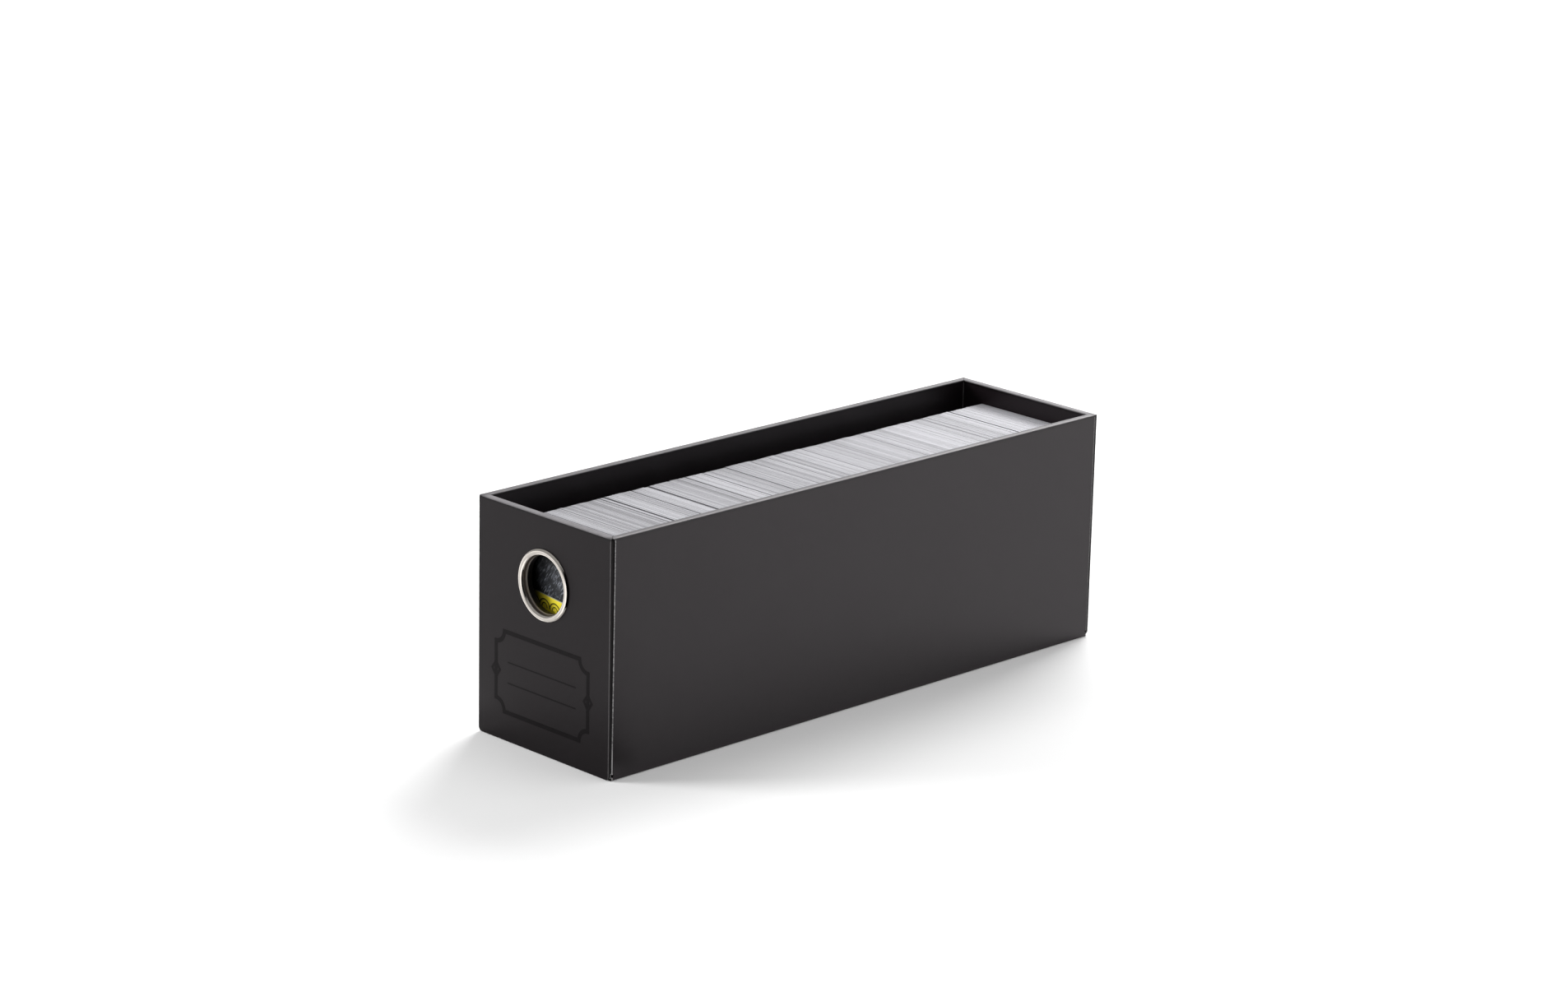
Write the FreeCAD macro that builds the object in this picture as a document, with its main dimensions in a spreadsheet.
"""Trading card storage drawer: a folded double-wall board tray with a metal finger ring,
filled with standing cards.

Frame: the origin is the centre of the tray's underside. X runs across the tray, Y runs along
it with the ringed front at -Y, and Z is up. All sizes are in millimetres.

The tray is folded from laminated board. Every wall goes up as an outer leaf, over a flat rim
and down again as an inner leaf, whose lock tabs drop through slots in the base. At each corner
a flap of the side wall turns round the edge and stands between the leaves of the end wall.
The ring is an eyelet: its barrel goes through both leaves and is rolled over a washer inside.
"""
import FreeCAD, Part
import math
import operator
import os
from collections import namedtuple

import Sketcher

V = FreeCAD.Vector
QUARTER_TURN = 90

doc = FreeCAD.newDocument("card_drawer")

# ---------------------------------------------------------------- driving dimensions
# The board and the cards set the tray: its outer length, width and height follow from them.
SIZES = {
    "board": 1.15,               # thickness of the laminated board
    "tuck_clearance": 0.05,      # play on each side of a flap between two leaves
    "crease_radius": 0.7,        # outside radius of every fold
    "mitre_gap": 0.04,           # set-back of each mitred end from the mitre plane
    "edge_inset": 0.5,           # side edges of the end walls, in from the side walls' faces
    "foot_radius": 2.4,          # rounded lower corners of the end walls
    "corner_rise": 2.7,          # height at which a corner flap starts above the underside
    "card_width": 63.0,
    "card_height": 88.0,
    "card_thickness": 0.305,
    "card_corner_radius": 3.2,
    "seat_gap": 0.05,            # between the floor pad and the lower edge of the cards
    "wall_gap": 0.15,            # between the cards and the walls that they stand against
    "side_room": 9.25,           # free space beside the cards, at the left wall
    "front_room": 3.85,          # free space before the first card, for a fingertip
    "headroom": 8.5,             # from the card tops to the rim
    "bundle_gap": 0.3,           # play between neighbouring bundles
    "tab_width": 24.0,
    "tab_clearance": 0.15,       # play of a lock tab in its slot
    "tab_recess": 0.15,          # lower end of a lock tab above the underside
    "side_tab_count": 3,
    "side_tab_pitch": 88.0,
    "pad_clearance": 0.3,        # play of the floor pad inside the walls
    "flap_setback": 6.0,         # free end of a corner flap from the hole for the ring
    "flap_taper": 7.0,           # bevel of a corner flap's free corners
    "ring_inner_radius": 12.25,
    "ring_outer_radius": 15.0,
    "ring_metal": 0.45,          # thickness of the ring's sheet metal and of its washer
    "ring_clearance": 0.1,       # between the barrel and the hole that it goes through
    "ring_drop": 28.5,           # centre of the ring below the rim
    "lip_width": 1.7,            # rolled rear lip, measured across the barrel
    "washer_width": 3.2,
}

# Cards in each bundle, from the front of the tray to the back.
BUNDLE_CARDS = (45, 45, 60, 46, 31, 66, 29, 43, 44, 46, 50, 55, 56, 40, 48, 45, 47, 67)
SIZES.update({f"bundle_{k}_cards": count for k, count in enumerate(BUNDLE_CARDS, start=1)})

sheet = doc.addObject("Spreadsheet::Sheet", "sizes")
for row, (alias, number) in enumerate(SIZES.items(), start=1):
    sheet.set(f"A{row}", alias)
    sheet.set(f"B{row}", str(number))
    sheet.setAlias(f"B{row}", alias)
derived = doc.addObject("App::VarSet", "derived")
doc.recompute()


class Size:
    """A size that is both a number and the FreeCAD expression that gives it."""

    def __init__(self, text, value):
        self.text = text
        self.value = value

    def __add__(self, other):
        return joined(self, "+", other, operator.add)

    def __radd__(self, other):
        return joined(other, "+", self, operator.add)

    def __sub__(self, other):
        return joined(self, "-", other, operator.sub)

    def __mul__(self, other):
        return joined(self, "*", other, operator.mul)

    def __rmul__(self, other):
        return joined(other, "*", self, operator.mul)

    def __truediv__(self, other):
        return joined(self, "/", other, operator.truediv)

    def __neg__(self):
        return joined(-1, "*", self, operator.mul)


def as_size(item):
    return item if isinstance(item, Size) else Size(str(item), item)


def joined(left, sign, right, work):
    left, right = as_size(left), as_size(right)
    return Size(f"({left.text} {sign} {right.text})", work(left.value, right.value))


def driving(alias):
    return Size(f"sizes.{alias}", float(sheet.get(alias)))


def derive(name, size):
    """Keep a derived size in the document under its own name."""
    derived.addProperty("App::PropertyFloat", name)
    derived.setExpression(name, size.text)
    return Size(f"derived.{name}", size.value)


# ---------------------------------------------------------------- derived dimensions
board = driving("board")
tuck = driving("tuck_clearance")
crease = driving("crease_radius")
wall = derive("wall", 3 * board + 2 * tuck)
floor_top = derive("floor_top", 3 * board)
bundles = [driving(f"bundle_{k}_cards") for k in range(1, len(BUNDLE_CARDS) + 1)]
card_thickness = driving("card_thickness")
bundle_gap = driving("bundle_gap")
stack = derive("stack", (1 + sum(bundles)) * card_thickness + len(bundles) * bundle_gap)
play = driving("wall_gap")
length = derive("length", 2 * wall + driving("front_room") + stack + play)
width = derive("width", 2 * wall + driving("side_room") + driving("card_width") + play)
card_bottom = derive("card_bottom", floor_top + driving("seat_gap"))
height = derive("height", card_bottom + driving("card_height") + driving("headroom"))
barrel_radius = derive("barrel_radius", driving("ring_inner_radius") + driving("ring_metal"))
ring_hole_radius = derive("ring_hole_radius", barrel_radius + driving("ring_clearance"))
ring_height = derive("ring_height", height - driving("ring_drop"))
flap_turn = derive("flap_turn", 2 * board + tuck)    # where the side wall ends and its flap turns


# ---------------------------------------------------------------- sketches and features
Line = namedtuple("Line", "x y")                     # straight to (x, y)
Arc = namedtuple("Arc", "x y centre_x centre_y clockwise", defaults=(False,))


def new_body(name):
    body = doc.addObject("PartDesign::Body", name)
    body.Label = name
    return body


def axis_or_plane(body, role):
    return next(f for f in body.Origin.OriginFeatures if f.Role == role)


def new_sketch(body, name, role, offset=None):
    """A sketch on an origin plane of the body, moved along the plane's normal by an offset."""
    sketch = body.newObject("Sketcher::SketchObject", name)
    sketch.AttachmentSupport = [(axis_or_plane(body, role), "")]
    sketch.MapMode = "FlatFace"
    if offset is not None:
        sketch.AttachmentOffset.Base = V(0, 0, offset.value)
        sketch.setExpression(".AttachmentOffset.Base.z", offset.text)
    return sketch


def pin(sketch, kind, geometry, point, size):
    """Bind one coordinate of a sketch point, counted from the sketch's origin, to a size."""
    size = as_size(size)
    index = sketch.addConstraint(Sketcher.Constraint(kind, -1, 1, geometry, point, size.value))
    sketch.setExpression(f"Constraints[{index}]", size.text)


def arc_edge(start, end, centre):
    """The counter-clockwise arc from start to end."""
    radius = (start - centre).Length
    circle = Part.Circle(centre, V(0, 0, 1), radius)
    return Part.ArcOfCircle(circle, circle.parameter(start), circle.parameter(end))


def draw_outline(sketch, steps):
    """A closed outline: each step is a Line or an Arc from the end of the step before it."""
    corners = [V(as_size(s.x).value, as_size(s.y).value, 0) for s in steps]
    ends = []
    for k, step in enumerate(steps):
        start, end = corners[k - 1], corners[k]
        if isinstance(step, Line):
            geometry = sketch.addGeometry(Part.LineSegment(start, end), False)
            ends.append((geometry, 1, 2))
            continue
        centre = V(as_size(step.centre_x).value, as_size(step.centre_y).value, 0)
        if step.clockwise:
            geometry = sketch.addGeometry(arc_edge(end, start, centre), False)
            ends.append((geometry, 2, 1))
        else:
            geometry = sketch.addGeometry(arc_edge(start, end, centre), False)
            ends.append((geometry, 1, 2))
        chord = end - start
        if abs(chord.x) > abs(chord.y):
            pin(sketch, "DistanceY", geometry, 3, step.centre_y)
        else:
            pin(sketch, "DistanceX", geometry, 3, step.centre_x)
    for k, step in enumerate(steps):
        geometry, _, end_point = ends[k]
        following, start_point, _ = ends[(k + 1) % len(steps)]
        sketch.addConstraint(
            Sketcher.Constraint("Coincident", geometry, end_point, following, start_point))
        pin(sketch, "DistanceX", geometry, end_point, step.x)
        pin(sketch, "DistanceY", geometry, end_point, step.y)


def draw_rectangle(sketch, x0, y0, x1, y1):
    draw_outline(sketch, [Line(x1, y0), Line(x1, y1), Line(x0, y1), Line(x0, y0)])


def draw_circle(sketch, x, y, radius):
    circle = Part.Circle(V(as_size(x).value, as_size(y).value, 0), V(0, 0, 1), radius.value)
    geometry = sketch.addGeometry(circle, False)
    pin(sketch, "DistanceX", geometry, 3, x)
    pin(sketch, "DistanceY", geometry, 3, y)
    index = sketch.addConstraint(Sketcher.Constraint("Radius", geometry, radius.value))
    sketch.setExpression(f"Constraints[{index}]", radius.text)


def pad(body, sketch, name, thickness, midplane=False, reverse=False):
    feature = body.newObject("PartDesign::Pad", name)
    feature.Profile = sketch
    feature.Midplane = midplane
    feature.Reversed = reverse
    feature.setExpression("Length", thickness.text)
    return feature


def pocket(body, sketch, name, depth=None):
    """Cut a sketch to a depth behind it, or all the way through when no depth is given."""
    before = volume_of(body)
    feature = body.newObject("PartDesign::Pocket", name)
    feature.Profile = sketch
    if depth is None:
        feature.Type = "ThroughAll"
        feature.Midplane = True
    else:
        feature.setExpression("Length", depth.text)
    if not volume_of(body) < before:
        raise RuntimeError(f"{body.Label}: {name} cuts nothing")
    return feature


def volume_of(body):
    doc.recompute()
    return body.Shape.Volume


def row_of(body, feature, name, role, pitch, count):
    """Repeat a feature along an axis of the body."""
    row = body.newObject("PartDesign::LinearPattern", name)
    row.Originals = [feature]
    row.Direction = (axis_or_plane(body, role), [""])
    row.setExpression("Length", (pitch * (count - 1)).text)
    row.setExpression("Occurrences", count.text)
    body.Tip = row
    return row


def place(body, x=0, y=0, z=0, turn=0):
    """Stand the body at a place in the tray's frame, turned about Z by some degrees."""
    spot = [as_size(size) for size in (x, y, z)]
    body.Placement = FreeCAD.Placement(V(*(s.value for s in spot)),
                                       FreeCAD.Rotation(V(0, 0, 1), turn))
    for letter, size in zip("xyz", spot):
        body.setExpression(f".Placement.Base.{letter}", size.text)
    return body


# ---------------------------------------------------------------- tray: walls
# A wall is modelled in a frame of its own: X along the wall, Y into the tray from the wall's
# outer face, Z up from the underside.
tab_width = driving("tab_width")
tab_recess = driving("tab_recess")


def folded_section(sketch):
    """Bottom fold, outer leaf, rim and inner leaf as one strip of board, seen from its end."""
    draw_outline(sketch, [
        Line(crease, 0),
        Arc(0, crease, crease, crease, clockwise=True),
        Line(0, height - crease),
        Arc(crease, height, crease, height - crease, clockwise=True),
        Line(wall - crease, height),
        Arc(wall, height - crease, wall - crease, height - crease, clockwise=True),
        Line(wall, board),
        Line(wall - board, board),
        Line(wall - board, height - board),
        Line(board, height - board),
        Line(board, 0),
    ])


def mitre_ends(body, span):
    """Cut rim and inner leaf at 45 degrees in plan, so that they meet those of the next wall."""
    sketch = new_sketch(body, f"{body.Label}_mitres", "XY_Plane")
    outer = span / 2 - board - driving("mitre_gap")
    inner = span / 2 - wall - driving("mitre_gap")
    for side in (1, -1):
        draw_outline(sketch, [Line(side * outer, board), Line(side * span / 2, board),
                              Line(side * span / 2, wall), Line(side * inner, wall)])
    pocket(body, sketch, f"{body.Label}_mitre_cut")


def round_feet(body, half_span):
    """Round the lower corners of an end wall's outer leaf."""
    sketch = new_sketch(body, f"{body.Label}_feet", "XZ_Plane")
    radius = driving("foot_radius")
    for side in (1, -1):
        edge, start = side * half_span, side * (half_span - radius)
        draw_outline(sketch, [Line(edge, 0), Line(edge, radius),
                              Arc(start, 0, start, radius, clockwise=side > 0)])
    pocket(body, sketch, f"{body.Label}_foot_cut", depth=board)


def open_corners(body, half_span, set_back):
    """Set the ends of a side wall's outer leaf back, between rim and foot, to where they fold."""
    sketch = new_sketch(body, f"{body.Label}_leaf_ends", "XZ_Plane")
    shoulder = height - board
    for side in (1, -1):
        tip, fold = side * half_span, side * (half_span - set_back)
        draw_outline(sketch, [Line(tip, 0), Line(tip, shoulder), Line(fold, shoulder),
                              Line(fold, driving("corner_rise"))])
    pocket(body, sketch, f"{body.Label}_corner_cut", depth=board)


def add_lock_tabs(body, pitch=None, count=None):
    """Tabs under the inner leaf: one in the middle, or a centred row of them."""
    sketch = new_sketch(body, f"{body.Label}_tab_outline", "XZ_Plane", offset=-wall)
    middle = as_size(0) if count is None else -(pitch * (count - 1)) / 2
    draw_rectangle(sketch, middle - tab_width / 2, tab_recess,
                   middle + tab_width / 2, 2 * board)
    tab = pad(body, sketch, f"{body.Label}_lock_tab", board)
    if count is not None:
        row_of(body, tab, f"{body.Label}_lock_tabs", "X_Axis", pitch, count)


def folded_wall(name, span, set_back):
    """A wall between two corners of the tray, its ends set back from the corner planes."""
    body = new_body(name)
    section = new_sketch(body, f"{name}_section", "YZ_Plane")
    folded_section(section)
    pad(body, section, f"{name}_strip", span - 2 * set_back, midplane=True)
    mitre_ends(body, span)
    return body


def end_wall(name):
    """Front or back wall: its outer leaf hides the corner flaps of the side walls."""
    inset = driving("edge_inset")
    body = folded_wall(name, width, inset)
    round_feet(body, width / 2 - inset)
    add_lock_tabs(body)
    return body


def side_wall(name):
    """Left or right wall: it starts behind the outer leaves of the end walls."""
    behind = board + tuck
    body = folded_wall(name, length, behind)
    open_corners(body, length / 2 - behind, flap_turn - behind)
    add_lock_tabs(body, driving("side_tab_pitch"), driving("side_tab_count"))
    return body


def punch_ring_hole(body):
    sketch = new_sketch(body, "ring_hole_outline", "XZ_Plane")
    draw_circle(sketch, 0, ring_height, ring_hole_radius)
    pocket(body, sketch, "ring_hole")


front_wall = end_wall("front_wall")
punch_ring_hole(front_wall)
place(front_wall, y=-length / 2)
place(end_wall("back_wall"), y=length / 2, turn=2 * QUARTER_TURN)
place(side_wall("left_wall"), x=-width / 2, turn=-QUARTER_TURN)
place(side_wall("right_wall"), x=width / 2, turn=QUARTER_TURN)


# ---------------------------------------------------------------- tray: corner flaps
def corner_flap(name, side):
    """Flap of a side wall, in the frame of the end wall that hides it; side is 1 at +X."""
    body = new_body(name)
    front, back = board + tuck, flap_turn
    corner = width / 2
    free_end = ring_hole_radius + driving("flap_setback")
    bend_start = corner - crease
    plan = new_sketch(body, f"{name}_plan", "XY_Plane", offset=driving("corner_rise"))
    draw_outline(plan, [
        Line(side * free_end, front),
        Line(side * bend_start, front),
        Arc(side * corner, front + crease, side * bend_start, front + crease,
            clockwise=side < 0),
        Line(side * corner, back),
        Line(side * free_end, back),
    ])
    flap_top = height - board - tuck
    pad(body, plan, f"{name}_strip", flap_top - driving("corner_rise"))
    bevels = new_sketch(body, f"{name}_bevels", "XZ_Plane")
    taper = driving("flap_taper")
    for level, inward in ((driving("corner_rise"), 1), (flap_top, -1)):
        draw_outline(bevels, [Line(side * (free_end + taper / 2), level),
                              Line(side * free_end, level + inward * taper),
                              Line(side * free_end, level)])
    pocket(body, bevels, f"{name}_bevel_cut")
    return body


place(corner_flap("corner_flap_front_right", 1), y=-length / 2)
place(corner_flap("corner_flap_front_left", -1), y=-length / 2)
place(corner_flap("corner_flap_back_left", 1), y=length / 2, turn=2 * QUARTER_TURN)
place(corner_flap("corner_flap_back_right", -1), y=length / 2, turn=2 * QUARTER_TURN)


# ---------------------------------------------------------------- tray: base and floor pad
def base_panel():
    body = new_body("base_panel")
    outline = new_sketch(body, "base_outline", "XY_Plane")
    half_width, half_length = width / 2 - board, length / 2 - board
    draw_rectangle(outline, -half_width, -half_length, half_width, half_length)
    pad(body, outline, "base_sheet", board)

    loose = driving("tab_clearance")
    half_slot = tab_width / 2 + loose
    near, far = wall - board - loose, wall + loose   # slot edges, from the wall's outer face
    end_slots = new_sketch(body, "end_slot_outlines", "XY_Plane")
    for side in (1, -1):
        outer, inner = side * (length / 2 - near), side * (length / 2 - far)
        draw_rectangle(end_slots, -half_slot, inner, half_slot, outer)
    pocket(body, end_slots, "end_slots")

    side_pitch, side_count = driving("side_tab_pitch"), driving("side_tab_count")
    first = -(side_pitch * (side_count - 1)) / 2
    side_slots = new_sketch(body, "side_slot_outlines", "XY_Plane")
    for side in (1, -1):
        outer, inner = side * (width / 2 - near), side * (width / 2 - far)
        draw_rectangle(side_slots, inner, first - half_slot, outer, first + half_slot)
    cut = pocket(body, side_slots, "side_slots")
    row_of(body, cut, "side_slot_row", "Y_Axis", side_pitch, side_count)
    return body


def floor_pad():
    body = new_body("floor_pad")
    outline = new_sketch(body, "floor_pad_outline", "XY_Plane", offset=board)
    half_width = width / 2 - wall - driving("pad_clearance")
    half_length = length / 2 - wall - driving("pad_clearance")
    draw_rectangle(outline, -half_width, -half_length, half_width, half_length)
    pad(body, outline, "floor_pad_sheet", floor_top - board)
    return body


place(base_panel())
place(floor_pad())


# ---------------------------------------------------------------- finger ring
# Both pieces are turned about the ring's axis. Their frame has its origin on that axis, in the
# plane of the front wall's outer face, with Y into the tray.
metal = driving("ring_metal")
inner_radius, outer_radius = driving("ring_inner_radius"), driving("ring_outer_radius")
flange_width = outer_radius - inner_radius
lip_width = driving("lip_width")
ROUND_FACETS = 5
barrel_end = derive("barrel_end", wall + metal)


def half_round(centre, radius, level, away, clockwise=False):
    """Straight facets of a half round that stands on a level, from one foot to the other.

    It runs towards +X, or back again when clockwise, and away is -1 where it rises towards -Y.
    """
    facets = []
    for k in range(1, ROUND_FACETS + 1):
        angle = math.pi * k / ROUND_FACETS
        along = math.cos(angle) if clockwise else -math.cos(angle)
        facets.append(Line(centre + radius * along, level + away * radius * math.sin(angle)))
    return facets


def pull_ring():
    """Half-round flange, barrel and rolled rear lip, pressed from one tube of sheet metal."""
    body = new_body("pull_ring")
    section = new_sketch(body, "ring_section", "XY_Plane")
    flange_radius, flange_centre = flange_width / 2, inner_radius + flange_width / 2
    lip_radius, lip_centre = lip_width / 2, inner_radius + lip_width / 2
    draw_outline(section, [
        Line(inner_radius, 0),
        *half_round(flange_centre, flange_radius, as_size(0), away=-1),
        Line(outer_radius - metal, 0),
        *half_round(flange_centre, flange_radius - metal, as_size(0), away=-1, clockwise=True),
        Line(barrel_radius, barrel_end),
        *half_round(lip_centre, lip_radius - metal, barrel_end, away=1),
        Line(inner_radius + lip_width, barrel_end),
        *half_round(lip_centre, lip_radius, barrel_end, away=1, clockwise=True),
    ])
    turned = body.newObject("PartDesign::Revolution", "ring_turned")
    turned.Profile = section
    turned.ReferenceAxis = (section, ["V_Axis"])
    turned.Angle = 4 * QUARTER_TURN
    return body


def ring_washer():
    body = new_body("ring_washer")
    face = new_sketch(body, "washer_face", "XZ_Plane", offset=-wall)
    draw_circle(face, 0, 0, ring_hole_radius)
    draw_circle(face, 0, 0, ring_hole_radius + driving("washer_width"))
    pad(body, face, "washer_sheet", metal, reverse=True)
    return body


place(pull_ring(), y=-length / 2, z=ring_height)
place(ring_washer(), y=-length / 2, z=ring_height)


# ---------------------------------------------------------------- cards
def standing_cards(name, count):
    """Cards standing on edge, one behind the other, their front face in the plane Y = 0."""
    body = new_body(name)
    outline = new_sketch(body, f"{name}_outline", "XZ_Plane")
    side, top = driving("card_width") / 2, driving("card_height")
    radius = driving("card_corner_radius")
    draw_outline(outline, [
        Line(side - radius, 0),
        Arc(side, radius, side - radius, radius),
        Line(side, top - radius),
        Arc(side - radius, top, side - radius, top - radius),
        Line(radius - side, top),
        Arc(-side, top - radius, radius - side, top - radius),
        Line(-side, radius),
        Arc(radius - side, 0, radius - side, radius),
    ])
    pad(body, outline, f"{name}_cards", count * card_thickness, reverse=True)
    return body


card_x = derive("card_x", width / 2 - wall - play - driving("card_width") / 2)
front = derive("front_card_y", -length / 2 + wall + driving("front_room"))
place(standing_cards("front_card", as_size(1)), x=card_x, y=front, z=card_bottom)
depth = card_thickness
for number, count in enumerate(bundles, start=1):
    front = derive(f"bundle_{number}_y", front + depth + bundle_gap)
    depth = count * card_thickness
    place(standing_cards(f"card_bundle_{number:02d}", count), x=card_x, y=front, z=card_bottom)


# ---------------------------------------------------------------- check and write
doc.recompute()
for item in doc.Objects:
    if {"Invalid", "Error"} & set(item.State):
        raise RuntimeError(f"{item.Label} failed: {item.State}")

os.makedirs("parts", exist_ok=True)
for body in doc.findObjects("PartDesign::Body"):
    if body.Shape.isNull() or not body.Shape.isValid() or len(body.Shape.Solids) != 1:
        raise RuntimeError(f"{body.Label} is not one valid solid")
    body.Shape.exportStep(f"parts/{body.Label}.step")
